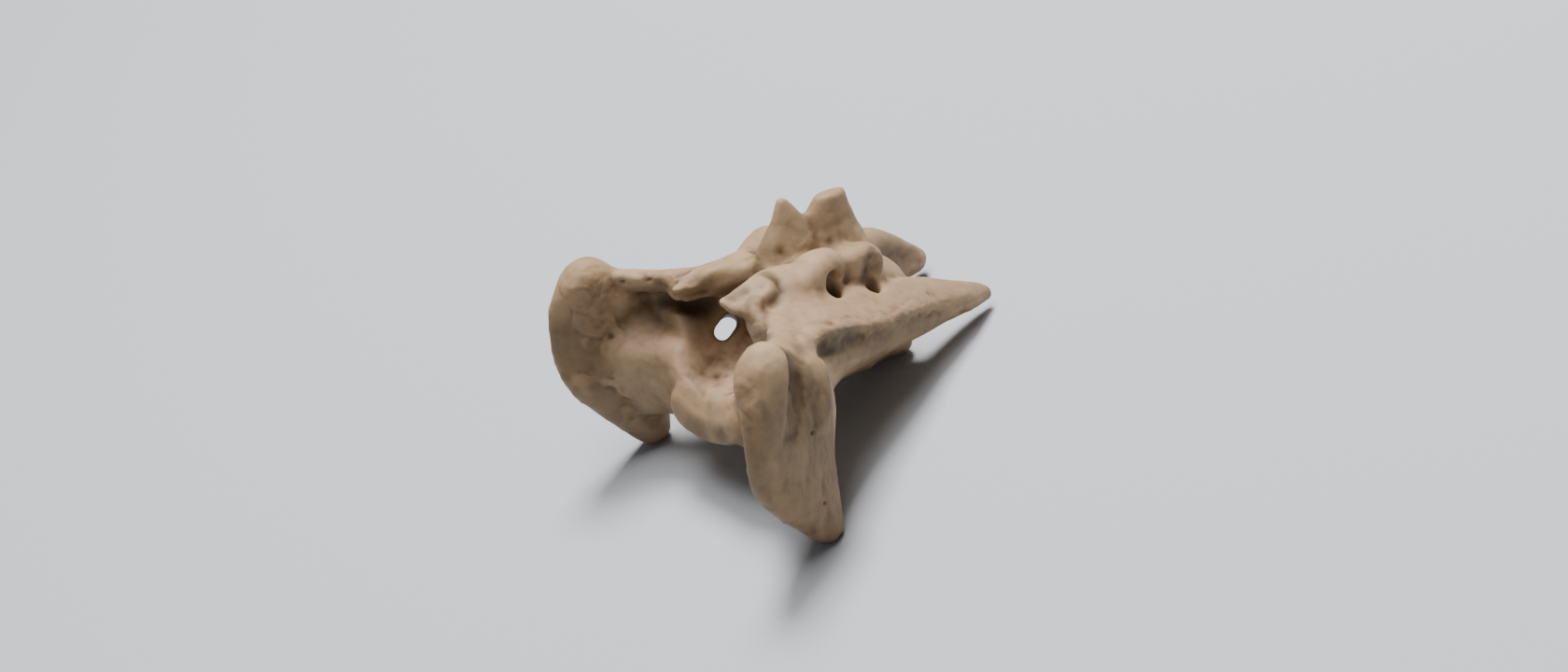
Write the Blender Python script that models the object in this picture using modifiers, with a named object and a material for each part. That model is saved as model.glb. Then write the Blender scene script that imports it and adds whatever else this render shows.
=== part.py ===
"""Cat sacrum, life size: three fused vertebrae and their wings, one bone.

The bone is shaped in its anatomical frame, in millimetres: +X is the animal's
left, +Y runs towards the tail, +Z is up the back, and the origin is the centre
of the front end plate. It is then laid on its underside, where it rests on the
tips of the wings and the end of the body, with the floor at Z = 0.
"""

import math

import bmesh
import bpy
from mathutils import Matrix, Vector

MM = 0.001
SIDES = {"left": 1, "right": -1}

# Driving dimensions of the bone, in millimetres.
BODY_LENGTH = 21.0
S1_LENGTH = 9.5
S2_LENGTH = 6.0
LAMINA_TOP = 11.4
WING_SPREAD = 13.0
WING_TOP = 11.6
WING_TIP = -7.7
HORN_REACH = 28.2

# The halves of a real bone differ a little: the roll of the front end plate in
# degrees, the fall of the upper side per millimetre outwards, and how much lower
# the front process sits.
PLATE_ROLL = 8.0
SIDE_DROOP = {"left": 0.0, "right": 0.13}
FLAP_SINK = {"left": 0.0, "right": 0.9}

# How the surface is made.
VOXEL = 0.34 * MM
SMOOTHING = 5
TRIANGLE_SHARE = 0.135
FOOT_DEPTH = 0.15
RING_SIDES = 48
RINGS_BETWEEN = 4
BONE_COLOUR = (0.42, 0.33, 0.25, 1.0)


def clear_scene():
    for old in list(bpy.data.objects):
        bpy.data.objects.remove(old, do_unlink=True)


def new_collection(name, hidden=False):
    made = bpy.data.collections.new(name)
    bpy.context.scene.collection.children.link(made)
    made.hide_render = hidden
    return made


def oval(centre, across, up, power):
    """The points of a rounded section: power 2 is an ellipse, and more is squarer."""
    points = []
    for i in range(RING_SIDES):
        angle = math.tau * i / RING_SIDES
        c, s = math.cos(angle), math.sin(angle)
        a = math.copysign(abs(c) ** (2 / power), c)
        b = math.copysign(abs(s) ** (2 / power), s)
        points.append(centre + across * a + up * b)
    return points


def between(before, here, there, beyond, t):
    """A point on the smooth curve from here to there."""
    flow = (there - before) * t + (2 * before - 5 * here + 4 * there - beyond) * t**2
    flow += (3 * here - before - 3 * there + beyond) * t**3
    return here + flow / 2


def rounded(corners):
    """The points of a smooth closed line through a few corners."""
    count = len(corners)
    steps = RING_SIDES // count
    points = []
    for i in range(count):
        four = [corners[(i + k) % count] for k in (-1, 0, 1, 2)]
        points += [between(*four, step / steps) for step in range(steps)]
    return points


def eased(rings):
    """The sections with smooth ones added in between."""
    padded = [rings[0], *rings, rings[-1]]
    made = []
    for four in zip(padded, padded[1:], padded[2:], padded[3:]):
        for step in range(RINGS_BETWEEN):
            t = step / RINGS_BETWEEN
            made.append([between(*points, t) for points in zip(*four)])
    return [*made, rings[-1]]


def loft(name, rings, collection):
    """A closed skin over a row of sections, each a list of as many points."""
    rings = eased(rings)
    mesh = bmesh.new()
    rows = [[mesh.verts.new(p * MM) for p in ring] for ring in rings]
    for near, far in zip(rows, rows[1:]):
        for i in range(len(near)):
            j = (i + 1) % len(near)
            mesh.faces.new((near[i], near[j], far[j], far[i]))
    mesh.faces.new(rows[0][::-1])
    mesh.faces.new(rows[-1])
    bmesh.ops.recalc_face_normals(mesh, faces=mesh.faces)
    data = bpy.data.meshes.new(name)
    mesh.to_mesh(data)
    mesh.free()
    return placed(name, data, collection)


def placed(name, data, collection):
    made = bpy.data.objects.new(name, data)
    made.display_type = "WIRE"
    made.hide_render = True
    collection.objects.link(made)
    return made


def along_y(name, stations, collection, side=1, power=2.3):
    """A loft towards the tail: stations of (y, x, z, half width, half height, tilt in degrees)."""
    rings = []
    for y, x, z, wide, high, tilt in stations:
        turn = math.radians(tilt)
        across = Vector((math.cos(turn) * side, 0, math.sin(turn))) * wide
        up = Vector((-math.sin(turn) * side, 0, math.cos(turn))) * high
        rings.append(oval(Vector((x * side, y, z)), across, up, power))
    return loft(name, rings, collection)


def along_z(name, stations, collection, side=1, power=2.2):
    """A loft down the height: stations of (z, x, y, half thickness, half length, yaw)."""
    rings = []
    for z, x, y, thick, long, yaw in stations:
        turn = math.radians(yaw)
        across = Vector((math.cos(turn) * side, math.sin(turn), 0)) * thick
        back = Vector((-math.sin(turn) * side, math.cos(turn), 0)) * long
        rings.append(oval(Vector((x * side, y, z)), across, back, power))
    return loft(name, rings, collection)


def outlines_y(name, stations, collection, side=1):
    """A loft towards the tail: stations of y and the corners of the outline there, as (x, z)."""
    rings = []
    for y, corners in stations:
        rings.append(rounded([Vector((x * side, y, z)) for x, z in corners]))
    return loft(name, rings, collection)


def outlines_x(name, stations, collection, side=1):
    """A loft out to the side: stations of x and the corners of the outline there, as (y, z)."""
    rings = []
    for x, corners in stations:
        rings.append(rounded([Vector((x * side, y, z)) for y, z in corners]))
    return loft(name, rings, collection)


def rod(name, points, collection, side=1):
    """A round bar or tunnel through points of (x, y, z, radius)."""
    curve = bpy.data.curves.new(name, "CURVE")
    curve.dimensions = "3D"
    curve.bevel_depth = MM
    curve.bevel_resolution = 4
    curve.resolution_u = 6
    curve.use_fill_caps = True
    spline = curve.splines.new("BEZIER")
    spline.bezier_points.add(len(points) - 1)
    for knot, (x, y, z, radius) in zip(spline.bezier_points, points):
        knot.co = Vector((x * side, y, z)) * MM
        knot.radius = radius
        knot.handle_left_type = knot.handle_right_type = "AUTO"
    drawn = bpy.data.objects.new(name + "_line", curve)
    bpy.context.scene.collection.objects.link(drawn)
    bpy.context.view_layer.update()
    graph = bpy.context.evaluated_depsgraph_get()
    data = bpy.data.meshes.new_from_object(drawn.evaluated_get(graph))
    bpy.data.objects.remove(drawn, do_unlink=True)
    mesh = bmesh.new()
    mesh.from_mesh(data)
    bmesh.ops.remove_doubles(mesh, verts=mesh.verts, dist=1e-6)
    bmesh.ops.recalc_face_normals(mesh, faces=mesh.faces)
    mesh.to_mesh(data)
    mesh.free()
    return placed(name, data, collection)


def lump(name, place, size, collection, side=1, tilt=0.0):
    """An egg-shaped swelling at place with half sizes (x, y, z)."""
    mesh = bmesh.new()
    bmesh.ops.create_uvsphere(mesh, u_segments=24, v_segments=14, radius=1.0)
    x, y, z = place
    turn = Matrix.Rotation(math.radians(tilt) * side, 4, "Y")
    shape = Matrix.Diagonal((*(Vector(size) * MM), 1.0))
    spot = Matrix.Translation(Vector((x * side, y, z)) * MM)
    bmesh.ops.transform(mesh, matrix=spot @ turn @ shape, verts=mesh.verts)
    data = bpy.data.meshes.new(name)
    mesh.to_mesh(data)
    mesh.free()
    return placed(name, data, collection)


def centra(forms):
    """The row of fused bodies, waisted between the joints and narrowing to the tail."""
    s2 = S1_LENGTH
    s3 = S1_LENGTH + S2_LENGTH
    stations = (
        (-0.2, 0, -0.15, 4.7, 1.9, PLATE_ROLL),
        (0.2, 0, 0.1, 5.3, 2.4, PLATE_ROLL),
        (2.0, 0, 0.5, 5.7, 2.7, PLATE_ROLL),
        (s2 * 0.55, 0, 1.1, 5.2, 2.1, 0),
        (s2, 0, 0.7, 4.8, 2.0, 0),
        (s2 + S2_LENGTH * 0.5, 0, 1.0, 4.0, 1.7, 0),
        (s3, 0, 0.7, 3.6, 1.7, 0),
        (s3 + 2.4, 0, 0.6, 2.9, 1.6, 0),
        (BODY_LENGTH - 0.8, 0, 0.3, 2.9, 1.75, 0),
        (BODY_LENGTH, 0, 0.3, 2.4, 1.2, 0),
    )
    return along_y("body", stations, forms, power=2.1)


def arch(forms):
    """The roof over the canal with its side walls, solid until the canal is cut."""
    stations = (
        (4.6, 0, 6.2, 4.6, 4.0, 0),
        (6.2, 0, 6.2, 5.5, 4.9, 0),
        (8.0, 0, 6.2, 5.3, LAMINA_TOP - 6.2, 0),
        (12.0, 0, 5.9, 5.0, 5.2, 0),
        (16.0, 0, 5.4, 4.4, 4.8, 0),
        (18.6, 0, 4.9, 4.0, 4.2, 0),
        (20.6, 0, 4.4, 3.6, 3.2, 0),
    )
    along_y("arch", stations, forms, power=2.4)
    pillar = ((5.2, 4.0, 3.4, 0.9), (4.9, 3.8, 6.4, 0.8), (4.4, 4.0, 10.4, 0.9))
    rod("arch_pillar_left", pillar, forms)


def spines(forms):
    """The first spine is a sharp point, and the second a broad plate with a blunt top."""
    first = (
        (10.2, 0, 10.3, 2.6, 3.2, 0),
        (12.8, 0, 10.5, 1.5, 2.5, 0),
        (14.6, 0, 10.8, 0.9, 1.5, 0),
        (16.6, 0, 10.5, 0.4, 0.35, 0),
    )
    second = (
        (9.4, 0, 14.9, 3.0, 3.9, 0),
        (11.7, 0, 14.9, 1.7, 3.2, 0),
        (13.9, 0, 15.0, 1.0, 2.35, 0),
        (15.4, 0, 15.5, 0.75, 1.5, 0),
    )
    along_z("first_spine", first, forms)
    along_z("second_spine", second, forms)


def wing(side, forms, hollows):
    """The tall plate that meets the hip bone, flared towards the front and grooved outside."""
    spread = WING_SPREAD
    stations = (
        (WING_TOP, spread, -1.6, 0.7, 0.8, 8),
        (WING_TOP - 0.8, spread, -1.6, 1.7, 1.9, 8),
        (WING_TOP - 2.2, spread, -1.5, 2.1, 3.0, 10),
        (7.4, spread + 0.1, -0.5, 2.0, 4.7, 16),
        (4.0, spread + 0.1, 0.0, 1.8, 5.6, 18),
        (0.2, spread - 0.2, -0.1, 1.9, 4.9, 16),
        (-3.0, spread - 0.3, 0.7, 1.9, 3.5, 13),
        (-5.6, spread - 0.3, 1.8, 1.6, 2.2, 9),
        (-6.9, spread - 0.2, 2.3, 1.3, 1.6, 8),
        (WING_TIP, spread - 0.1, 2.4, 0.7, 0.9, 8),
    )
    s = SIDES[side]
    along_z(f"wing_{side}", stations, forms, s)
    strip = ((10.6, 4.4, 7.8, 0.9), (12.0, 3.6, 7.8, 1.0), (12.9, 3.0, 6.9, 1.2),
             (13.5, 2.5, 5.2, 1.2), (13.6, 2.0, 3.0, 1.0))
    rod(f"wing_strip_{side}", strip, forms, s)
    valley = ((13.4, 1.6, 11.8, 1.2), (14.6, 0.9, 9.6, 1.2), (15.0, 0.3, 8.0, 1.2),
              (15.6, -0.5, 6.0, 1.2), (16.3, -1.5, 3.8, 1.2))
    rod(f"wing_valley_{side}", valley, hollows, s)


def wing_root(side, forms):
    """The thick arm that carries the wing, hollowed on its front between two ridges."""
    stations = (
        (3.4, ((5.0, 10.6), (5.2, 9.0), (6.4, 8.0), (6.2, 6.6), (3.4, 5.2), (0.4, 2.8),
               (0.8, -1.4), (3.4, -1.6), (8.0, 0.6), (8.4, 4.0), (8.0, 8.0), (6.8, 10.6))),
        (6.0, ((3.3, 10.2), (3.9, 8.6), (5.9, 7.9), (5.6, 6.6), (3.6, 5.5), (0.8, 3.5),
               (0.7, -1.2), (2.6, -2.8), (6.6, 0.4), (8.0, 5.0), (7.6, 8.4), (5.4, 10.4))),
        (9.0, ((1.5, 10.0), (2.1, 8.4), (4.4, 7.7), (4.1, 6.4), (2.0, 5.0), (-0.4, 3.2),
               (-0.2, 0.6), (1.6, -3.4), (4.6, -1.0), (6.2, 5.0), (6.0, 8.4), (3.6, 9.9))),
        (12.6, ((-1.7, 10.3), (-1.6, 9.0), (-0.4, 8.0), (-0.6, 6.8), (-2.2, 5.2), (-3.4, 3.2),
                (-3.0, 0.0), (-0.2, -4.0), (2.6, -3.6), (3.8, 1.4), (4.6, 6.0), (1.2, 9.8))),
    )
    outlines_x(f"root_{side}", stations, forms, SIDES[side])


def lateral_part(side, forms, hollows):
    """The fused side processes with a crest along the edge, ending in a pointed horn."""
    stations = (
        (2.6, ((4.6, 10.2), (7.6, 9.8), (10.0, 9.5), (11.6, 9.4), (12.4, 8.2),
               (12.6, 5.0), (12.2, 1.4), (10.0, 0.6), (6.0, 1.2), (4.0, 6.0))),
        (5.3, ((4.6, 10.7), (7.4, 10.0), (9.8, 9.5), (11.2, 9.3), (11.3, 8.0),
               (11.7, 6.0), (11.2, 3.6), (9.2, 2.4), (5.5, 1.5), (4.0, 6.0))),
        (8.0, ((4.6, 10.5), (7.0, 9.6), (9.0, 8.9), (10.2, 8.6), (10.2, 7.3),
               (10.5, 6.0), (9.8, 4.2), (8.2, 2.9), (5.0, 1.9), (3.6, 6.0))),
        (11.0, ((4.6, 9.6), (6.6, 8.8), (8.2, 8.0), (9.4, 7.5), (9.4, 6.4),
                (9.4, 5.2), (8.7, 3.9), (7.2, 2.6), (4.5, 1.5), (3.4, 6.0))),
        (14.0, ((4.4, 8.5), (6.2, 7.9), (7.6, 7.2), (8.6, 6.7), (8.6, 5.7),
                (8.5, 4.6), (7.8, 3.4), (6.3, 2.3), (4.0, 1.4), (3.2, 5.0))),
        (17.0, ((4.1, 7.7), (5.8, 7.3), (7.0, 6.7), (7.9, 6.2), (7.85, 5.2),
                (7.7, 4.2), (7.0, 3.0), (5.6, 2.0), (3.6, 1.2), (3.0, 4.5))),
        (19.5, ((3.9, 7.2), (5.2, 6.8), (6.4, 6.2), (7.2, 5.6), (7.1, 4.7),
                (7.0, 3.8), (6.4, 2.8), (5.2, 2.0), (3.6, 1.6), (3.0, 4.2))),
        (21.8, ((3.8, 6.3), (4.9, 6.2), (5.9, 5.6), (6.7, 4.9), (6.65, 4.2),
                (6.5, 3.4), (6.0, 2.6), (5.0, 2.0), (3.8, 2.1), (3.2, 4.0))),
        (24.2, ((4.0, 5.2), (4.8, 5.3), (5.6, 4.9), (6.2, 4.3), (6.2, 3.6),
                (6.0, 3.0), (5.6, 2.4), (4.9, 2.1), (4.0, 2.2), (3.5, 3.6))),
        (26.6, ((4.3, 4.2), (4.8, 4.4), (5.3, 4.1), (5.7, 3.6), (5.75, 3.1),
                (5.6, 2.7), (5.3, 2.4), (4.8, 2.1), (4.3, 2.3), (4.0, 3.2))),
        (HORN_REACH, ((4.6, 3.3), (4.8, 3.5), (5.0, 3.4), (5.2, 3.2), (5.3, 2.9),
                      (5.2, 2.6), (5.0, 2.4), (4.8, 2.3), (4.6, 2.5), (4.5, 2.9))),
    )
    drop = SIDE_DROOP[side]
    stations = [(y, [(x, z - drop * max(0.0, x - 4.6)) for x, z in corners])
                for y, corners in stations]
    s = SIDES[side]
    outlines_y(f"lateral_{side}", stations, forms, s)
    under = ((13.4, 4.2, 9.0, 0.9), (13.0, 6.0, 7.9, 1.5), (12.2, 8.2, 6.9, 1.5),
             (11.2, 10.6, 6.0, 1.1), (10.3, 13.0, 5.3, 0.8))
    rod(f"crest_hollow_{side}", under, hollows, s)


def front_process(side, forms):
    """The joint process that met the last lumbar vertebra, a short pointed flap."""
    sink = FLAP_SINK[side]
    stations = (
        (0.9, 3.5, 11.4 - sink, 0.4, 0.3, -28),
        (2.0, 3.9, 10.9 - sink, 1.3, 0.6, -30),
        (3.8, 4.1, 11.0 - sink, 1.8, 0.8, -26),
        (6.0, 3.9, 11.1 - sink, 1.9, 1.0, -24),
        (8.4, 3.5, 10.8 - sink / 2, 1.7, 1.2, -22),
    )
    along_y(f"front_process_{side}", stations, forms, SIDES[side])


def knobs(side, forms):
    """The rounded remains of the joints between the fused arches."""
    s = SIDES[side]
    sink = FLAP_SINK[side]
    first = (
        (6.6, 4.0, 9.9 - sink, 1.2, 0.8, 0),
        (8.6, 3.9, 10.4 - sink, 1.8, 1.6, 0),
        (10.8, 3.8, 10.8, 1.8, 1.8, 0),
        (12.4, 3.7, 10.8, 1.4, 1.5, 0),
        (13.2, 3.6, 10.6, 0.7, 0.8, 0),
    )
    second = (
        (12.6, 2.9, 9.8, 1.1, 1.2, 0),
        (14.2, 3.1, 9.9, 1.5, 1.6, 0),
        (16.0, 3.3, 9.6, 1.4, 1.8, 0),
        (17.0, 3.3, 9.5, 1.2, 1.6, 0),
        (17.4, 3.3, 9.5, 0.7, 1.0, 0),
    )
    along_y(f"knob_first_{side}", first, forms, s)
    along_y(f"knob_second_{side}", second, forms, s, power=3.0)


def rear_ridge(forms):
    """A ridge that stands on the right horn only, as far up as the second joint."""
    stations = (
        (15.6, 3.6, 7.2, 1.0, 1.6, 0),
        (18.0, 3.7, 7.4, 1.5, 2.2, 0),
        (20.6, 3.9, 6.9, 1.7, 2.3, 0),
        (23.2, 4.3, 5.9, 1.6, 2.3, 0),
        (25.8, 4.7, 4.6, 1.4, 1.8, 0),
        (27.6, 4.9, 3.7, 1.1, 1.3, 0),
        (28.7, 5.0, 3.4, 0.5, 0.6, 0),
    )
    along_y("rear_ridge", stations, forms, -1)


def canal(hollows):
    """The passage for the nerves, open above in front and wider on its right side there."""
    stations = (
        (-3.0, 0, 6.6, 5.9, 4.9, 0),
        (0.3, 0, 6.4, 5.6, 4.6, 0),
        (3.0, 0, 6.2, 5.1, 4.1, 0),
        (5.4, 0, 6.1, 4.3, 3.9, 0),
        (8.0, 0, 6.0, 3.8, 3.7, 0),
        (12.0, 0, 5.6, 3.3, 3.1, 0),
        (16.0, 0, 5.0, 2.7, 2.4, 0),
        (24.0, 0, 4.6, 2.4, 2.0, 0),
    )
    along_y("canal", stations, hollows, power=2.0)
    bevel = (
        (-1.4, 0, 6.4, 8.4, 8.4, 0),
        (0.0, 0, 6.4, 6.6, 6.2, 0),
        (1.4, 0, 6.4, 4.8, 4.0, 0),
    )
    along_y("rim_bevel", bevel, hollows, power=2.0)
    gap = (
        (-3.0, 0, 12.0, 3.3, 4.4, 0),
        (2.6, 0, 12.0, 2.9, 4.4, 0),
        (5.6, 0, 12.0, 2.3, 3.8, 0),
        (7.6, 0, 11.6, 1.1, 2.4, 0),
    )
    along_y("front_gap", gap, hollows)
    recess = ((3.0, 5.4, 7.3, 0.9), (5.0, 4.7, 7.35, 1.0), (7.0, 3.5, 7.4, 1.05),
              (9.2, 2.1, 7.1, 1.0))
    rod("recess_right", recess, hollows, -1)
    bowl = (
        (-1.5, ((-5.9, 8.2), (-6.5, 6.9), (-5.5, 5.2), (-4.0, 3.6), (-2.2, 2.5),
                (0.0, 2.2), (2.0, 2.6), (2.5, 5.0), (0.0, 8.2), (-3.0, 8.3))),
        (0.5, ((-5.9, 8.2), (-6.6, 6.9), (-5.8, 5.0), (-4.2, 3.1), (-2.2, 2.0),
               (0.0, 1.8), (2.0, 2.1), (2.5, 5.0), (0.0, 8.2), (-3.0, 8.3))),
        (2.6, ((-5.8, 8.2), (-6.4, 7.0), (-5.3, 5.3), (-3.9, 3.5), (-2.2, 2.3),
               (0.0, 2.0), (2.0, 2.3), (2.5, 5.0), (0.0, 8.2), (-3.0, 8.3))),
        (4.6, ((-5.0, 8.0), (-5.4, 7.2), (-4.6, 5.6), (-3.6, 3.9), (-2.1, 2.6),
               (0.0, 2.3), (2.0, 2.6), (2.5, 5.0), (0.0, 8.0), (-3.0, 8.2))),
        (5.8, ((-4.0, 7.6), (-4.2, 7.0), (-4.0, 5.6), (-3.2, 4.2), (-2.0, 3.0),
               (0.0, 2.6), (2.0, 3.0), (2.4, 5.0), (0.0, 7.6), (-2.5, 7.8))),
    )
    outlines_y("bowl_right", bowl, hollows)


def nerve_holes(side, hollows):
    """Each joint between two vertebrae has one opening above and one below."""
    s = SIDES[side]
    for name, rise in (("low", -0.5), ("high", 0.5)):
        y, z = rise * 0.8, rise * 0.6
        first = ((3.2, 5.6 + y, 5.4 + z, 0.8), (6.2, 7.2 + y, 3.8 + z, 0.85),
                 (9.4, 9.2 + y, 1.4 + z, 1.0))
        rod(f"nerve_first_{name}_{side}", first, hollows, s)
    first_up = ((4.4, 9.6, 4.6, 0.9), (4.7, 10.7, 7.4, 0.85), (5.6, 11.4, 11.0, 0.95))
    second = ((2.4, 13.6, 4.8, 0.9), (4.4, 14.4, 3.2, 1.0), (6.2, 15.4, 0.4, 1.1))
    second_up = ((3.9, 14.4, 4.4, 0.7), (4.5, 15.2, 6.6, 0.7), (5.4, 15.9, 10.4, 0.8))
    rod(f"nerve_first_up_{side}", first_up, hollows, s)
    rod(f"nerve_second_{side}", second, hollows, s)
    rod(f"nerve_second_up_{side}", second_up, hollows, s)


def boolean(obj, operation, collection):
    cut = obj.modifiers.new(operation.lower(), "BOOLEAN")
    cut.operation = operation
    cut.operand_type = "COLLECTION"
    cut.collection = collection
    cut.solver = "EXACT"


def settled(obj):
    """The object's mesh with every modifier applied."""
    bpy.context.view_layer.update()
    graph = bpy.context.evaluated_depsgraph_get()
    data = bpy.data.meshes.new_from_object(obj.evaluated_get(graph))
    obj.modifiers.clear()
    obj.data = data
    return data


def keep_largest(data):
    """Drops any loose scrap that the cuts or the smoothing leave."""
    mesh = bmesh.new()
    mesh.from_mesh(data)
    left = set(mesh.verts)
    groups = []
    while left:
        start = left.pop()
        group, edge = {start}, [start]
        while edge:
            here = edge.pop()
            for link in here.link_edges:
                other = link.other_vert(here)
                if other in left:
                    left.discard(other)
                    group.add(other)
                    edge.append(other)
        groups.append(group)
    groups.sort(key=len)
    spare = [v for group in groups[:-1] for v in group]
    bmesh.ops.delete(mesh, geom=spare, context="VERTS")
    mesh.to_mesh(data)
    mesh.free()


def turning(a, b):
    """Above 0 where b turns left of a."""
    return a.x * b.y - a.y * b.x


def rest_turn(data):
    """The turn about X that lays the bone on the side of its outline under its middle."""
    middle = sum(v.co.y for v in data.vertices) / len(data.vertices)
    hull = []
    for point in sorted(v.co.yz.to_tuple() for v in data.vertices):
        point = Vector(point)
        while len(hull) > 1 and turning(hull[-1] - hull[-2], point - hull[-2]) <= 0:
            hull.pop()
        hull.append(point)
    start, end = next(pair for pair in zip(hull, hull[1:]) if pair[1].x > middle)
    run = end - start
    return Matrix.Rotation(-math.atan2(run.y, run.x), 4, "X")


def lay_down(data, helpers):
    """Turns the bone to its rest and sets it over the origin, with the shapes that made it."""
    turn = rest_turn(data)
    data.transform(turn)
    ys = [v.co.y for v in data.vertices]
    zs = [v.co.z for v in data.vertices]
    middle = (min(ys) + max(ys)) / 2
    move = Matrix.Translation((0, -middle, -FOOT_DEPTH * MM - min(zs)))
    data.transform(move)
    for helper in helpers:
        helper.matrix_world = move @ turn


def floor_cutter(collection):
    """A slab under Z = 0 that trims the three feet to one level."""
    mesh = bmesh.new()
    bmesh.ops.create_cube(mesh, size=1)
    size = Matrix.Diagonal((0.1, 0.1, 0.02, 1))
    bmesh.ops.transform(mesh, matrix=Matrix.Translation((0, 0, -0.01)) @ size, verts=mesh.verts)
    data = bpy.data.meshes.new("floor_cutter")
    mesh.to_mesh(data)
    mesh.free()
    return placed("floor_cutter", data, collection)


def bone_material():
    material = bpy.data.materials.new("bone")
    material.use_nodes = True
    shader = material.node_tree.nodes["Principled BSDF"]
    shader.inputs["Base Color"].default_value = BONE_COLOUR
    shader.inputs["Roughness"].default_value = 0.6
    shader.inputs["Metallic"].default_value = 0.0
    return material


def build():
    clear_scene()
    finished = new_collection("cat_sacrum")
    forms = new_collection("forms", hidden=True)
    hollows = new_collection("hollows", hidden=True)
    bone = centra(finished)
    bone.name = "sacrum"
    arch(forms)
    spines(forms)
    rear_ridge(forms)
    canal(hollows)
    for side in SIDES:
        wing(side, forms, hollows)
        wing_root(side, forms)
        lateral_part(side, forms, hollows)
        front_process(side, forms)
        knobs(side, forms)
        nerve_holes(side, hollows)
    boolean(bone, "UNION", forms)
    boolean(bone, "DIFFERENCE", hollows)
    remesh = bone.modifiers.new("remesh", "REMESH")
    remesh.mode = "VOXEL"
    remesh.voxel_size = VOXEL
    smooth = bone.modifiers.new("smooth", "SMOOTH")
    smooth.factor = 0.5
    smooth.iterations = SMOOTHING
    thin = bone.modifiers.new("thin", "DECIMATE")
    thin.ratio = TRIANGLE_SHARE
    data = settled(bone)
    keep_largest(data)
    lay_down(data, [*forms.objects, *hollows.objects])
    bone.display_type = "TEXTURED"
    bone.hide_render = False
    foot = bone.modifiers.new("feet", "BOOLEAN")
    foot.operation = "DIFFERENCE"
    foot.object = floor_cutter(hollows)
    foot.solver = "EXACT"
    data = settled(bone)
    keep_largest(data)
    data.materials.clear()
    data.materials.append(bone_material())
    data.shade_smooth()
    return bone


build()
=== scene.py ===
"""The cat sacrum dressed as dry bone, on a pale studio floor, seen as in the photograph.

Places on the bone are given in its anatomical frame, in millimetres: +X is the
animal's left, +Y runs towards the tail, +Z is up the back, and the origin is the
centre of the front end plate. place() brings them to the floor frame of the model.
"""

import math

import bpy
import numpy as np
from mathutils import Matrix, Vector


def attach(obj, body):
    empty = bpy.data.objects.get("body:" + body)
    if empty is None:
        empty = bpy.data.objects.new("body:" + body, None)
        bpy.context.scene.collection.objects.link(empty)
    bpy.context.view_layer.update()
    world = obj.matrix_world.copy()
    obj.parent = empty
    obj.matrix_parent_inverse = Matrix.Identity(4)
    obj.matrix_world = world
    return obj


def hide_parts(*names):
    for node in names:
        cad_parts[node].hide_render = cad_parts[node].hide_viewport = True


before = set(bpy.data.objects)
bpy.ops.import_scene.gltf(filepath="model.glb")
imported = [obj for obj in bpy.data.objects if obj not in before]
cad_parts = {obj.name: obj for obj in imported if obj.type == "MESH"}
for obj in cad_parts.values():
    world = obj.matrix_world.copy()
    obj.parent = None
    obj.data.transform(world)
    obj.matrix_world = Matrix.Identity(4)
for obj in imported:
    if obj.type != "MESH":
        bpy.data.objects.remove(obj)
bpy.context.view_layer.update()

MM = 0.001

# How the anatomical frame lies on the floor.
REST_PITCH = math.radians(-19.9355)
REST_SHIFT = Vector((0.0, -11.899, 8.090))
REST = Matrix.Translation(REST_SHIFT) @ Matrix.Rotation(REST_PITCH, 4, "X")

# The camera, in the anatomical frame.
CAMERA_PLACE = (153.17, -92.32, 90.47)
CAMERA_VIEW = (-0.755, 0.500, -0.425)
CAMERA_UP = (-0.28, 0.34, 0.90)
FOCAL_PIXELS = 2561.5
PHOTO_WIDTH = 1680
SENSOR = 36.0

# The fine skin of the bone.
FINE_VOXEL = 0.125 * MM
FINE_SMOOTHING = 14
# Rounds of evening out, for the normals, the sharp corners, and the painted shade in the hollows and in the
# fine creases.
NORMAL_ROUNDS = 6
SOFT_ROUNDS = 150
HOLLOW_ROUNDS = 60
CREASE_SHADE_ROUNDS = 8

LEFT, RIGHT = 1, -1
# Turns the noise off the axes, so that its lumps stand in no rows.
SKEW = np.array(Matrix.Rotation(0.7, 3, (0.4, 1.0, 0.6)))

# The right half hangs lower, by this much for each millimetre outwards of this place.
RIGHT_DROOP = 0.13
DROOP_FROM = 4.6

# Marks, as places that a line runs through. Those on both sides are given for the left half.
CREST = ((11.6, 4.35, 9.7), (10.6, 6.3, 9.3), (9.7, 8.6, 8.65), (9.1, 11.05, 7.4), (8.4, 13.55, 6.4),
         (7.8, 16.0, 6.15), (7.2, 18.75, 5.3), (6.5, 22.0, 4.2), (5.8, 24.9, 3.1), (5.0, 28.2, 2.7))
CREST_PIT = ((12.2, 4.6, 8.3), (11.4, 6.6, 7.3))
WING_VALLEY = ((13.6, 1.3, 10.2), (14.0, 0.9, 8.1), (14.6, 0.0, 5.8), (14.9, -0.8, 4.2))
WING_RIDGE = ((13.0, 2.2, 10.45), (13.3, 2.4, 9.1), (13.8, 2.3, 6.6))
JOINT_GROOVE = ((3.6, 5.7, 12.2), (4.6, 6.1, 11.9), (5.4, 5.9, 11.3), (5.7, 5.0, 10.9), (5.8, 3.9, 10.7),
                (6.5, 2.9, 10.2), (7.6, 2.2, 10.0))
JOINT_LIP = ((3.9, 5.1, 12.1), (4.6, 5.3, 11.8), (5.0, 4.9, 11.5), (5.1, 4.2, 11.2))
JOINT_DISH = ((3.8, 2.2, 11.6), (3.8, 3.2, 11.8))
KNOB_GROOVE = ((4.2, 16.4, 11.0), (4.6, 15.4, 10.2), (4.6, 14.9, 8.9))
RECESS_LIP = ((8.0, 3.0, 8.2), (6.0, 4.1, 8.6), (4.5, 5.0, 8.0))
HORN_GROOVE = ((-2.9, 23.4, 6.1), (-3.2, 25.2, 5.2), (-3.8, 27.0, 4.6))
PLATE_CREASE = ((-5.5, 0.8, 5.1), (-3.0, 1.1, 2.55), (-1.0, 0.8, 1.7), (4.0, 1.3, 3.0))
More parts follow.
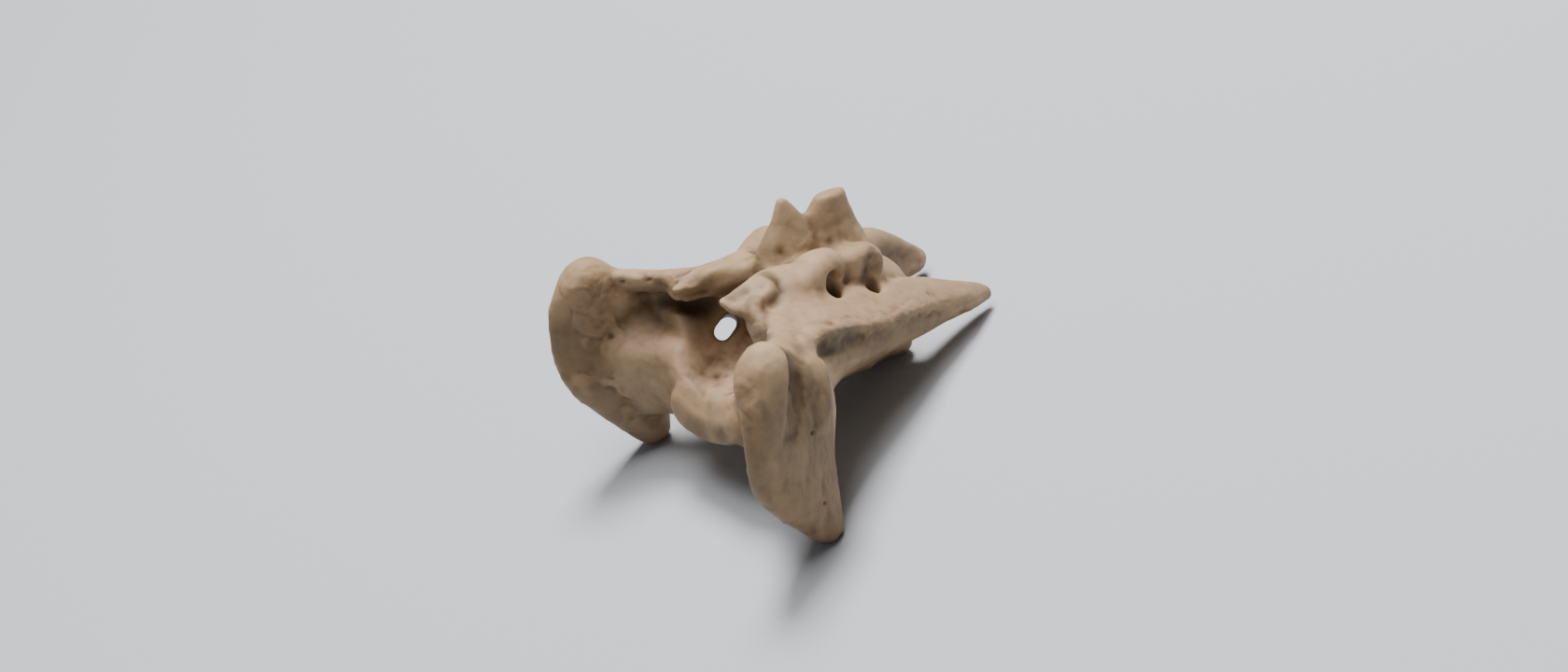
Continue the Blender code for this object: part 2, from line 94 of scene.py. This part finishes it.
WING_FRONT_RIDGE = ((14.1, -2.9, 9.9), (14.7, -3.5, 8.2))
# Sharp corners of the solid that the skin evens out.
SOFTENED = ((12.6, 2.8, 9.2), (13.6, 1.2, 9.6), (13.9, 0.3, 8.2), (14.2, -0.3, 6.8), (14.8, -1.0, 4.8),
            (15.0, -1.6, 3.4))
SOFT_REACH = 1.3

# The recess under each wing root's bar, which is darkened with painted shade.
RECESS = ((4.5, 5.2, 7.2), (7.0, 3.9, 7.3), (9.4, 2.2, 7.1))
# Where the bodies fused, from the front end plate.
FUSED_JOINTS = (9.5, 15.5)

# Small holes for blood vessels, as place, radius and depth.
HOLES = (
    ((-7.8, 0.6, 9.8), 0.40, 0.26), ((-5.6, 2.4, 10.0), 0.45, 0.28), ((-9.6, -0.4, 9.4), 0.30, 0.18),
    ((14.6, 1.4, -3.2), 0.20, 0.14), ((14.2, 0.8, 3.4), 0.18, 0.14), ((-11.9, -0.8, 4.2), 0.30, 0.12),
    ((1.6, 4.0, -1.6), 0.34, 0.28), ((-1.4, 5.2, -1.4), 0.30, 0.28),
    ((0.8, 12.6, -0.6), 0.28, 0.26), ((-0.9, 18.2, -1.0), 0.26, 0.24), ((1.6, 13.9, 11.8), 0.36, 0.10),
    ((1.2, 9.0, 12.4), 0.36, 0.08), ((-1.8, 3.0, 2.2), 0.40, 0.12),
    ((0.6, 4.4, 2.2), 0.44, 0.12), ((1.4, 2.4, 2.2), 0.36, 0.10), ((-2.8, 2.2, 2.5), 0.40, 0.10),
    ((-8.6, 9.4, 8.2), 0.22, 0.14),
    ((-3.1, 2.7, 10.9), 0.60, 0.34), ((12.2, -2.6, 9.4), 0.24, 0.14),
)

# Browner patches, and patches of painted shade on the front end plate's face and on the shelf and ledge
# under the right wing root, as place, radius and share of the stain's colour.
STAIN_AND_SHADE_SPOTS = (
    ((-3.1, 3.0, 10.9), 0.8, 0.9), ((-8.0, 2.2, 9.1), 1.1, 0.75), ((-5.8, 3.2, 9.9), 0.8, 0.5),
    ((1.2, 9.0, 12.6), 0.8, 0.6), ((1.5, 14.4, 12.1), 1.0, 0.75), ((1.0, 16.6, 13.2), 0.8, 0.6),
    ((1.2, 10.8, 13.2), 0.6, 0.4), ((5.1, 12.1, 10.7), 0.6, 0.6), ((4.6, 16.2, 9.8), 1.0, 0.8),
    ((4.9, 12.5, 10.4), 0.7, 0.7), ((11.9, 2.6, 9.2), 0.9, 0.7),
    ((13.9, 1.5, 8.4), 0.8, 0.7), ((14.4, 0.4, 6.0), 0.8, 0.6), ((11.0, 5.8, 8.4), 1.1, 0.9),
    ((10.3, 8.1, 7.6), 1.0, 0.9), ((14.1, -4.0, 9.3), 1.4, 0.90), ((14.8, -4.9, 7.0), 0.9, 0.7),
    ((14.9, -2.8, -0.8), 0.9, 0.5), ((14.6, -1.7, -2.7), 0.8, 0.6), ((-7.6, 0.6, 3.8), 2.8, 0.55),
    ((-8.4, 2.0, 5.6), 2.2, 0.60), ((-6.2, 3.4, 6.0), 1.8, 0.55),
    ((-10.5, 0.2, 9.3), 0.7, 0.4), ((-3.6, 24.2, 6.0), 3.4, 0.75),
    ((1.5, 0.0, 0.8), 3.2, 0.45),
    ((2.6, -0.2, -0.6), 1.4, 0.8), ((-0.5, -0.2, -1.6), 1.6, 0.8), ((8.6, 11.0, 8.3), 0.7, 0.35),
)

# Colours of the dry bone, from its darker patches to its lighter ones, and of its marks; the stain's brown
# also paints shade, and the hollows and fine creases get painted shade.
TANS = ((0.350, 0.228, 0.124), (0.405, 0.270, 0.152), (0.465, 0.322, 0.190))
BLUSH = (0.430, 0.272, 0.172)
# Brown for stains, also used for painted shade.
STAIN_AND_SHADE_COLOUR = (0.126, 0.086, 0.046)
SPECK = (0.66, 0.61, 0.54)
# Painted shade for the hollows and for the fine creases.
HOLLOW_SHADE_COLOUR = (0.42, 0.36, 0.29)
CREASE_SHADE_COLOUR = (0.50, 0.43, 0.35)
WHITE = (1.0, 1.0, 1.0)
ROUGHNESS = 0.62
BUMP_DISTANCE = 0.06 * MM

# The studio: the floor's colour, the sky and each light's place, size and power in watts.
FLOOR_COLOUR = (0.54, 0.555, 0.585)
SKY_COLOUR = (0.95, 0.97, 1.0)
SKY_STRENGTH = 0.14
LIGHTS = (
    ("key", (-0.10, 0.225, 0.545), 0.18, 5.8),
    ("top", (0.03, 0.03, 0.60), 0.30, 2.3),
)


def place(point):
    """A point of the anatomical frame, in metres in the floor frame."""
    return (REST @ Vector(point)) * MM


def turned(direction):
    """A direction of the anatomical frame in the floor frame."""
    return (REST.to_3x3() @ Vector(direction)).normalized()


def lattice(corner, seed):
    """A repeatable value from 0 to 1 for each whole-number corner."""
    x, y, z = (corner[:, i].astype(np.int64) for i in range(3))
    mixed = x * 73856093 ^ y * 19349663 ^ z * 83492791 ^ seed * 2654435761
    mixed = (mixed ^ (mixed >> 13)) * 1274126177 & 0x7FFFFFFF
    mixed = (mixed ^ (mixed >> 15)) * 739391 & 0x7FFFFFFF
    return (mixed % 100003) / 100003.0


def noise(points, size, seed):
    """Smooth noise from -1 to 1, with lumps about one size across."""
    spot = points / np.asarray(size, dtype=float) @ SKEW
    corner = np.floor(spot)
    part = spot - corner
    part = part * part * part * (part * (part * 6 - 15) + 10)
    total = np.zeros(len(points))
    for dx in (0, 1):
        for dy in (0, 1):
            for dz in (0, 1):
                step = np.array((dx, dy, dz))
                weight = np.prod(np.where(step == 1, part, 1 - part), axis=1)
                total += weight * lattice(corner + step, seed)
    return total * 2 - 1


def layered(points, size, seed, octaves=3, gain=0.5):
    """Noise with finer noise on it."""
    total = np.zeros(len(points))
    share, whole = 1.0, 0.0
    for i in range(octaves):
        total += share * noise(points, np.asarray(size, dtype=float) / 2**i, seed + i)
        whole += share
        share *= gain
    return total / whole


def fade(value, low, high):
    """0 below low, 1 above high and smooth in between."""
    t = np.clip((value - low) / (high - low), 0, 1)
    return t * t * (3 - 2 * t)


def near_path(points, path):
    """How far each point is from a line through the path's points, and how far along it is."""
    best = np.full(len(points), np.inf)
    along = np.zeros(len(points))
    path = [np.array(p, dtype=float) for p in path]
    for i, (a, b) in enumerate(zip(path, path[1:])):
        run = b - a
        t = np.clip((points - a) @ run / (run @ run), 0, 1)
        gap = np.linalg.norm(points - (a + t[:, None] * run), axis=1)
        along = np.where(gap < best, (i + t) / (len(path) - 1), along)
        best = np.minimum(best, gap)
    return best, along


def fine_copy(node):
    """A copy of the solid with small even faces and its flat facets smoothed away."""
    data = node.data.copy()
    bone = bpy.data.objects.new("bone_skin", data)
    bpy.context.scene.collection.objects.link(bone)
    remesh = bone.modifiers.new("remesh", "REMESH")
    remesh.mode = "VOXEL"
    remesh.voxel_size = FINE_VOXEL
    smooth = bone.modifiers.new("smooth", "SMOOTH")
    smooth.factor = 0.5
    smooth.iterations = FINE_SMOOTHING
    bpy.context.view_layer.update()
    graph = bpy.context.evaluated_depsgraph_get()
    made = bpy.data.meshes.new_from_object(bone.evaluated_get(graph))
    bone.modifiers.clear()
    bone.data = made
    return bone


def read(what, name):
    """A vector for each item of a mesh's data."""
    values = np.empty(len(what) * 3, dtype=np.float32)
    what.foreach_get(name, values)
    return values.reshape(-1, 3).astype(float)


def to_anatomy(co):
    """Vertex places in metres to the anatomical frame in millimetres."""
    back = np.array(REST.inverted())
    return co / MM @ back[:3, :3].T + back[:3, 3]


def averaged(values, edges, count, rounds):
    """Values evened out over neighbouring vertices."""
    ends = np.concatenate((edges, edges[:, ::-1]))
    degree = np.bincount(ends[:, 0], minlength=count)
    for _ in range(rounds):
        spread = [np.bincount(ends[:, 0], values[ends[:, 1], i], count) for i in range(values.shape[1])]
        values = 0.4 * values + 0.6 * np.stack(spread, axis=1) / degree[:, None]
    return values


def on_side(point, side):
    """A place of the left half on the half asked for; the right half falls away outwards."""
    x, y, z = point
    drop = RIGHT_DROOP * max(0.0, x - DROOP_FROM) if side == RIGHT else 0.0
    return (side * x, y, z - drop)


def crest_height(p):
    """How high the crest along the side stands at each point's place from front to tail."""
    places = np.array(CREST)
    drop = np.where(p[:, 0] < 0, RIGHT_DROOP * np.maximum(0.0, np.abs(p[:, 0]) - DROOP_FROM), 0.0)
    return np.interp(p[:, 1], places[:, 1], places[:, 2]) - drop


def crest_gap(p):
    """How far each point is from the nearer crest."""
    gap = np.full(len(p), np.inf)
    for side in (LEFT, RIGHT):
        gap = np.minimum(gap, near_path(p, [on_side(spot, side) for spot in CREST])[0])
    return gap


def side_face_mask(p, normal):
    """The coarse face below the crest of the fused side processes."""
    outward = normal[:, 0] * np.sign(p[:, 0])
    below = crest_height(p) - p[:, 2]
    reach = fade(p[:, 1], 4.0, 6.0) * (1 - fade(p[:, 1], 20.0, 25.0))
    return fade(outward, 0.0, 0.5) * fade(below, -0.5, 0.3) * (1 - fade(below, 2.6, 4.2)) * reach


def wing_face_mask(p, normal):
    """The outer faces of the wings, where the hip bone was joined."""
    outward = normal[:, 0] * np.sign(p[:, 0])
    return fade(np.abs(p[:, 0]), 12.0, 13.2) * fade(outward, 0.1, 0.6) * (1 - fade(p[:, 1], 3.6, 4.6))


def inner_wing_mask(p, normal):
    """The inner and front faces of the wings."""
    inward = -normal[:, 0] * np.sign(p[:, 0])
    facing = fade(np.maximum(inward, -normal[:, 1]), 0.1, 0.6)
    return fade(np.abs(p[:, 0]), 9.0, 11.5) * facing * (1 - fade(p[:, 1], 2.0, 4.0))


def bar_mask(p, normal):
    """The upper front of each wing root, from the wing to the first arch."""
    across = fade(np.abs(p[:, 0]), 3.4, 5.0) * (1 - fade(np.abs(p[:, 0]), 10.5, 12.5))
    return across * fade(p[:, 2], 7.2, 8.4) * (1 - fade(p[:, 1], 5.5, 7.0)) * fade(-normal[:, 1], -0.2, 0.4)


def warped(p, amount, size, seed):
    """The places shifted about by noise, which bends what is laid over them."""
    return p + amount * np.stack([noise(p, size, seed + i) for i in range(3)], axis=1)


def carved(p, normal):
    """How far each vertex moves along its normal, in millimetres."""
    bent = warped(p, 0.5, 1.6, 7)
    lift = 0.045 * layered(bent, 2.8, 11, 3) + 0.006 * layered(p, 0.5, 21, 2)
    edge = 1 - fade(crest_gap(bent), 0.5, 1.8)
    lift += edge * (0.26 * layered(bent, (1.6, 1.9, 1.6), 31, 3) - 0.04)
    face = side_face_mask(p, normal)
    lift += face * (0.16 * layered(bent, (3.4, 2.6, 3.2), 43, 2) + 0.03 * layered(p, 0.6, 47, 2))
    under_edge = crest_height(p) - p[:, 2] - 1.3
    ahead = 1 - 0.6 * fade(p[:, 1], 11.0, 17.0)
    trough = 0.30 + 0.22 * noise(bent, (2.8, 2.4, 2.2), 45)
    lift -= face * ahead * np.exp(-((under_edge / 1.1) ** 2)) * trough
    inner = inner_wing_mask(p, normal)
    patches = fade(layered(bent, 3.0, 51, 3), -0.05, 0.3)
    lift += inner * (0.08 * layered(p, 2.0, 53, 2) + patches * (0.08 + 0.09 * layered(bent, 0.9, 57, 2)))
    outer = wing_face_mask(p, normal)
    rear = 0.35 + 0.65 * fade(p[:, 1], -3.5, 0.0)
    streaks = 0.10 * layered(bent, (2.2, 1.2, 5.0), 71, 3) + 0.03 * layered(bent, (0.9, 0.5, 2.6), 81, 2)
    lift += outer * rear * streaks
    bar = bar_mask(p, normal)
    lift += bar * 0.12 * layered(bent, (2.0, 1.3, 1.1), 87, 3)
    for side in (LEFT, RIGHT):
        lift += joint_marks(p, side)
        lift += wing_marks(bent, side)
    lift += body_marks(p)
    lift += spine_marks(bent)
    lift += pits(p)
    return lift


def joint_marks(p, side):
    """The groove and lip of each front joint face, the dish in it and the second knob's rough end."""
    groove, along = near_path(p, [on_side(spot, side) for spot in JOINT_GROOVE])
    ends = fade(along, 0.0, 0.2) * (1 - 0.7 * fade(along, 0.5, 1.0))
    lift = -0.30 * np.exp(-((groove / 0.5) ** 2)) * ends
    lip, _ = near_path(p, [on_side(spot, side) for spot in JOINT_LIP])
    lift += 0.22 * np.exp(-((lip / 0.5) ** 2))
    dish, _ = near_path(p, [on_side(spot, side) for spot in JOINT_DISH])
    lift -= 0.20 * np.exp(-((dish / 0.6) ** 2))
    knob, _ = near_path(p, [on_side(spot, side) for spot in KNOB_GROOVE])
    lift -= 0.20 * np.exp(-((knob / 0.7) ** 2))
    rough = np.linalg.norm((p - on_side((4.3, 16.2, 9.8), side)) / (1.5, 1.5, 2.0), axis=1)
    lift += np.exp(-(rough**2)) * 0.20 * layered(p, 1.2, 91 + side, 3)
    return lift


def wing_marks(p, side):
    """The long hollow behind the wing's rim, the ridges by it, the crest's pit and the recess's lip."""
    valley, _ = near_path(p, [on_side(spot, side) for spot in WING_VALLEY])
    lift = -0.34 * np.exp(-((valley / 1.2) ** 2))
    front, _ = near_path(p, [on_side(spot, side) for spot in WING_FRONT_RIDGE])
    lift += 0.10 * np.exp(-((front / 0.45) ** 2))
    ridge, _ = near_path(p, [on_side(spot, side) for spot in WING_RIDGE])
    lift += 0.12 * np.exp(-((ridge / 0.5) ** 2))
    pit, _ = near_path(p, [on_side(spot, side) for spot in CREST_PIT])
    lift -= 0.42 * np.exp(-((pit / 0.75) ** 2))
    shelf, _ = near_path(p, [on_side(spot, side) for spot in RECESS_LIP])
    lift += 0.10 * np.exp(-((shelf / 0.45) ** 2))
    return lift


def body_marks(p):
    """The rim of the front end plate, the ridges where the bodies fused and the canal's uneven floor."""
    rim, _ = near_path(p, PLATE_CREASE)
    lift = -0.12 * np.exp(-((rim / 0.4) ** 2))
    under = 1 - fade(p[:, 2], -0.6, 0.8)
    inside = 1 - fade(np.abs(p[:, 0]), 3.5, 5.5)
    for y in FUSED_JOINTS:
        lift += 0.12 * np.exp(-(((p[:, 1] - y) / 0.5) ** 2)) * under * inside
    canal = (1 - fade(np.abs(p[:, 0]), 3.0, 5.0)) * fade(p[:, 2], 1.6, 2.0) * (1 - fade(p[:, 2], 3.8, 5.0))
    lift += canal * (0.09 * layered(p, 1.2, 101, 2) - 0.05 * np.abs(noise(p, 0.7, 107)))
    return lift


def spine_marks(p):
    """The coarse roots of the spines, the hollows on their sides and the groove along the right horn."""
    slim = 1 - fade(np.abs(p[:, 0]), 2.0, 3.2)
    high = fade(p[:, 2], 11.6, 12.4)
    foot = fade(p[:, 2], 10.8, 11.6) * (1 - fade(p[:, 2], 12.8, 14.0))
    lift = slim * high * 0.10 * layered(p, (2.2, 1.8, 3.2), 111, 2)
    lift += slim * foot * 0.09 * layered(p, 1.6, 121, 2)
    groove, _ = near_path(p, HORN_GROOVE)
    return lift - 0.20 * np.exp(-((groove / 1.0) ** 2))


def pits(p):
    """Small holes for blood vessels; each opens in the skin nearest to its place."""
    lift = np.zeros(len(p))
    for spot, radius, depth in HOLES:
        middle = p[np.argmin(np.linalg.norm(p - spot, axis=1))]
        gap = np.linalg.norm(p - middle, axis=1)
        lift -= depth * np.exp(-((gap / radius) ** 2))
    return lift


def stained_and_shaded(p, normal):
    """Where the bone is browner, and where shade is painted on it: browner coarse faces and wings' joint
    faces, which also carry painted shade, and painted shade in hollows, grooves and recesses and on
    undersides.
    """
    bent = warped(p, 0.5, 1.3, 197)
    cloudy = 0.5 + 0.5 * layered(bent, 1.6, 201, 3)
    streaks = 0.5 + 0.5 * layered(bent, (1.1, 0.7, 4.5), 211, 3)
    # The coarse side face below the crest is browner and darkened with painted shade, most in a band of
    # painted shade under the crest's lip.
    low = 1 - fade(p[:, 2], 6.5, 11.0)
    below = crest_height(p) - p[:, 2] + 0.7 * layered(bent, 1.5, 203, 2)
    brown_and_shade_band = fade(below, 0.0, 0.7) * (1 - fade(below, 1.8, 3.0))
    brown_and_shade_band *= fade(layered(bent, (3.4, 2.6, 2.6), 205, 2), -0.6, 0.4) * (1 - 0.5 * fade(p[:, 1], 12.0, 18.0))
    stain_and_shade = side_face_mask(p, normal) * (0.38 + 0.20 * cloudy + 0.42 * brown_and_shade_band)
    stain_and_shade = np.maximum(stain_and_shade, (1 - fade(crest_gap(bent), 0.4, 1.3)) * (0.05 + 0.6 * cloudy))
    # The outer faces of the wings are browner in streaks and darkened with painted shade, more towards the
    # bottom.
    outer = wing_face_mask(p, normal) * (0.15 + 0.85 * low)
    stain_and_shade = np.maximum(stain_and_shade, outer * (0.30 + 0.55 * streaks))
    # Painted shade on the lower inner and front faces of the wings, broken by lighter patches.
    inner = inner_wing_mask(p, normal) * (1 - fade(p[:, 2], 5.5, 8.5))
    patches = fade(layered(warped(p, 0.5, 1.6, 7), 3.0, 51, 3), -0.05, 0.3)
    stain_and_shade = np.maximum(stain_and_shade, inner * (0.10 + 0.40 * (1 - patches) + 0.2 * cloudy))
    bar = bar_mask(p, normal) * fade(layered(bent, (1.7, 1.2, 1.0), 221, 3), 0.0, 0.4)
    stain_and_shade = np.maximum(stain_and_shade, 0.7 * bar)
    spines = (1 - fade(np.abs(p[:, 0]), 1.6, 2.8)) * fade(p[:, 2], 11.4, 12.2)
    stain_and_shade = np.maximum(stain_and_shade, spines * (0.10 + 0.35 * cloudy) * (1 - fade(p[:, 2], 14.6, 15.8)))
    for side in (LEFT, RIGHT):
        # Painted shade in the recess under each wing root's bar, in the long hollow behind each wing's rim,
        # along the grooves of the front joint faces, in their dishes and in the second knob's groove.
        gap, _ = near_path(bent, [on_side(spot, side) for spot in RECESS])
        stain_and_shade = np.maximum(stain_and_shade, 0.75 * (1 - fade(gap, 0.6, 2.6)))
        gap, along = near_path(bent, [on_side(spot, side) for spot in WING_VALLEY])
        stain_and_shade = np.maximum(stain_and_shade, (1 - fade(gap, 0.9, 2.1)) * (1 - 0.4 * along))
        gap, along = near_path(p, [on_side(spot, side) for spot in JOINT_GROOVE])
        stain_and_shade = np.maximum(stain_and_shade, 0.75 * (1 - fade(gap, 0.2, 0.9)) * (1 - 0.6 * along))
        gap, _ = near_path(p, [on_side(spot, side) for spot in JOINT_DISH])
        stain_and_shade = np.maximum(stain_and_shade, 0.6 * (1 - fade(gap, 0.3, 1.0)))
        gap, _ = near_path(p, [on_side(spot, side) for spot in KNOB_GROOVE])
        stain_and_shade = np.maximum(stain_and_shade, 0.8 * (1 - fade(gap, 0.2, 0.9)))
    # Painted shade along the groove on the right horn.
    stain_and_shade = np.maximum(stain_and_shade, 0.7 * (1 - fade(near_path(bent, HORN_GROOVE)[0], 0.2, 1.5)))
    # Browner spots, some of them painted shade.
    for spot, radius, share in STAIN_AND_SHADE_SPOTS:
        gap = np.linalg.norm(bent - spot, axis=1)
        stain_and_shade = np.maximum(stain_and_shade, share * np.exp(-((gap / radius) ** 2)) * (0.6 + 0.6 * cloudy))
    rear = fade(p[:, 1], 11.0, 18.0) * (0.08 + 0.24 * cloudy)
    # Painted shade on faces turned downwards.
    under = (1 - fade(normal[:, 2], -0.7, 0.0)) * (0.4 + 0.5 * cloudy)
    return np.maximum(np.maximum(stain_and_shade, rear), under)


def blushed(p, normal):
    """Where the bone is pinker: the smooth upper planes, the canal's floor and the first knob."""
    cloudy = 0.5 + 0.5 * layered(p, 2.2, 231, 3)
    outwards = np.abs(p[:, 0])
    upper = fade(normal[:, 2], 0.2, 0.7) * fade(outwards, 3.0, 4.5) * (1 - fade(outwards, 10.0, 12.0))
    canal = (1 - fade(outwards, 3.4, 5.0)) * (1 - fade(p[:, 2], 4.0, 6.5)) * fade(p[:, 2], 1.4, 2.2)
    return np.maximum(upper, canal) * (0.2 + 0.9 * cloudy)


def store(mesh, name, values):
    """Keeps values from 0 to 1 for the material to read."""
    layer = mesh.attributes.new(name, "FLOAT", "POINT")
    layer.data.foreach_set("value", np.clip(values, 0, 1).astype(np.float32))


def dress(bone):
    """Carves the fine surface and stores what the material needs to know about it."""
    mesh = bone.data
    count = len(mesh.vertices)
    co = read(mesh.vertices, "co")
    edges = np.empty(len(mesh.edges) * 2, dtype=np.int32)
    mesh.edges.foreach_get("vertices", edges)
    edges = edges.reshape(-1, 2)
    normal = averaged(read(mesh.vertex_normals, "vector"), edges, count, NORMAL_ROUNDS)
    normal /= np.linalg.norm(normal, axis=1)[:, None]
    p = to_anatomy(co)
    back = np.array(REST.to_3x3())
    lift = carved(p, normal @ back)
    near = np.zeros(count)
    for side in (LEFT, RIGHT):
        gap, _ = near_path(p, [on_side(spot, side) for spot in SOFTENED])
        near = np.maximum(near, np.exp(-((gap / SOFT_REACH) ** 2)))
    near = near[:, None]
    co = co * (1 - near) + averaged(co, edges, count, SOFT_ROUNDS) * near + normal * lift[:, None] * MM
    co[:, 2] = np.maximum(co[:, 2], 0.0)
    mesh.vertices.foreach_set("co", co.astype(np.float32).ravel())
    mesh.update()
    # Painted shade in the broad hollows, from how far each vertex lies below the well evened-out skin.
    broad = averaged(co, edges, count, HOLLOW_ROUNDS)
    depth = np.sum((co - broad) * normal, axis=1) / MM
    # Painted shade in the fine creases, from how far each vertex lies below the lightly evened-out skin.
    fine = averaged(co, edges, count, CREASE_SHADE_ROUNDS)
    crease_shade = np.sum((co - fine) * normal, axis=1) / MM
    store(mesh, "hollow_shade", 0.5 - depth * 2.2)
    store(mesh, "crease_shade", 0.5 - crease_shade * 14.0)
    facing = normal @ back
    # Browner patches together with painted shade.
    store(mesh, "stain_and_shade", stained_and_shaded(p, facing))
    store(mesh, "blush", blushed(p, facing))
    mesh.shade_smooth()


def node(tree, kind, at, **settings):
    """A shader node at a place in the tree's editor."""
    made = tree.nodes.new(kind)
    made.location = at
    for name, value in settings.items():
        setattr(made, name, value)
    return made


def ramp(tree, at, stops):
    """A colour ramp through stops of position and colour."""
    stops = list(stops)
    made = node(tree, "ShaderNodeValToRGB", at)
    while len(made.color_ramp.elements) < len(stops):
        made.color_ramp.elements.new(0.5)
    for element, (position, colour) in zip(made.color_ramp.elements, stops):
        element.position = position
        element.color = (*colour, 1.0)
    return made


def blended(tree, at, mode, share, first, second):
    """A colour mix; share is a number or a socket."""
    made = node(tree, "ShaderNodeMix", at, data_type="RGBA", blend_type=mode)
    if isinstance(share, float):
        made.inputs[0].default_value = share
    else:
        tree.links.new(share, made.inputs[0])
    for value, socket in ((first, made.inputs[6]), (second, made.inputs[7])):
        if isinstance(value, tuple):
            socket.default_value = (*value, 1.0)
        else:
            tree.links.new(value, socket)
    return made.outputs[2]


def bone_material():
    """Dry bone: tan with pinkish and yellowish patches, browner in its rough places, with painted shade in
    its hollows and creases.
    """
    material = bpy.data.materials.new("dry_bone")
    material.use_nodes = True
    tree = material.node_tree
    shader = tree.nodes["Principled BSDF"]
    shader.inputs["Roughness"].default_value = ROUGHNESS
    shader.inputs["Specular IOR Level"].default_value = 0.3
    where = node(tree, "ShaderNodeTexCoord", (-1900, 0)).outputs["Object"]

    def cloud(at, scale, detail, distortion=0.0):
        made = node(tree, "ShaderNodeTexNoise", at)
        made.inputs["Scale"].default_value = scale
        made.inputs["Detail"].default_value = detail
        made.inputs["Distortion"].default_value = distortion
        tree.links.new(where, made.inputs["Vector"])
        return made.outputs["Fac"]

    def stored(at, name):
        return node(tree, "ShaderNodeAttribute", at, attribute_name=name).outputs["Fac"]

    patches = ramp(tree, (-1400, 300), zip((0.36, 0.52, 0.66), TANS))
    tree.links.new(cloud((-1650, 300), 150.0, 3.0, 0.4), patches.inputs[0])
    colour = blended(tree, (-1100, 250), "MIX", stored((-1400, 50), "blush"), patches.outputs[0], BLUSH)
    # Browner patches and painted shade, in the stain's colour.
    colour = blended(tree, (-950, 225), "MIX", stored((-1400, -120), "stain_and_shade"), colour, STAIN_AND_SHADE_COLOUR)
    speck = ramp(tree, (-1400, -300), ((0.34, SPECK), (0.52, WHITE)))
    tree.links.new(cloud((-1650, -300), 900.0, 4.0), speck.inputs[0])
    colour = blended(tree, (-800, 200), "MULTIPLY", 0.35, colour, speck.outputs[0])
    # Painted shade in the hollows.
    hollow_shade_ramp = ramp(tree, (-1400, -600), ((0.46, WHITE), (0.85, HOLLOW_SHADE_COLOUR)))
    tree.links.new(stored((-1650, -600), "hollow_shade"), hollow_shade_ramp.inputs[0])
    colour = blended(tree, (-600, 150), "MULTIPLY", 0.8, colour, hollow_shade_ramp.outputs[0])
    # Painted shade in the fine creases.
    crease_shade_ramp = ramp(tree, (-1400, -850), ((0.50, WHITE), (0.95, CREASE_SHADE_COLOUR)))
    tree.links.new(stored((-1650, -850), "crease_shade"), crease_shade_ramp.inputs[0])
    colour = blended(tree, (-350, 100), "MULTIPLY", 0.7, colour, crease_shade_ramp.outputs[0])
    tree.links.new(colour, shader.inputs["Base Color"])

    bump = node(tree, "ShaderNodeBump", (-200, -500))
    bump.inputs["Strength"].default_value = 0.35
    bump.inputs["Distance"].default_value = BUMP_DISTANCE
    tree.links.new(cloud((-500, -550), 2600.0, 4.0), bump.inputs["Height"])
    tree.links.new(bump.outputs[0], shader.inputs["Normal"])
    return material


def studio():
    """A pale floor, a soft light from above the right of the tail and a weaker one overhead."""
    bpy.ops.mesh.primitive_plane_add(size=6.0, location=(0, 0, 0))
    floor = bpy.context.object
    floor.name = "studio_floor"
    paint = bpy.data.materials.new("floor_paint")
    paint.use_nodes = True
    shader = paint.node_tree.nodes["Principled BSDF"]
    shader.inputs["Base Color"].default_value = (*FLOOR_COLOUR, 1.0)
    shader.inputs["Roughness"].default_value = 0.9
    shader.inputs["Specular IOR Level"].default_value = 0.1
    floor.data.materials.append(paint)

    world = bpy.data.worlds.new("studio")
    bpy.context.scene.world = world
    world.use_nodes = True
    sky = world.node_tree.nodes["Background"]
    sky.inputs["Color"].default_value = (*SKY_COLOUR, 1.0)
    sky.inputs["Strength"].default_value = SKY_STRENGTH

    for name, spot, size, power in LIGHTS:
        light = bpy.data.lights.new(name, "AREA")
        light.size = size
        light.energy = power
        lamp = bpy.data.objects.new(name, light)
        lamp.location = spot
        lamp.rotation_euler = (-Vector(spot)).to_track_quat("-Z", "Y").to_euler()
        bpy.context.scene.collection.objects.link(lamp)


def camera():
    """The photograph's view of the bone, with its tilt."""
    lens = bpy.data.cameras.new("photo_camera")
    lens.sensor_width = SENSOR
    lens.lens = FOCAL_PIXELS / PHOTO_WIDTH * SENSOR
    lens.clip_start = 0.01
    lens.clip_end = 50.0
    eye = bpy.data.objects.new("photo_camera", lens)
    back = -turned(CAMERA_VIEW)
    right = turned(CAMERA_UP).cross(back).normalized()
    turn = Matrix((right, back.cross(right), back)).transposed().to_4x4()
    eye.matrix_world = Matrix.Translation(place(CAMERA_PLACE)) @ turn
    bpy.context.scene.collection.objects.link(eye)
    bpy.context.scene.camera = eye


bone = fine_copy(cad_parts["sacrum"])
dress(bone)
bone.data.materials.clear()
bone.data.materials.append(bone_material())
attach(bone, "root")
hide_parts("sacrum")
studio()
camera()
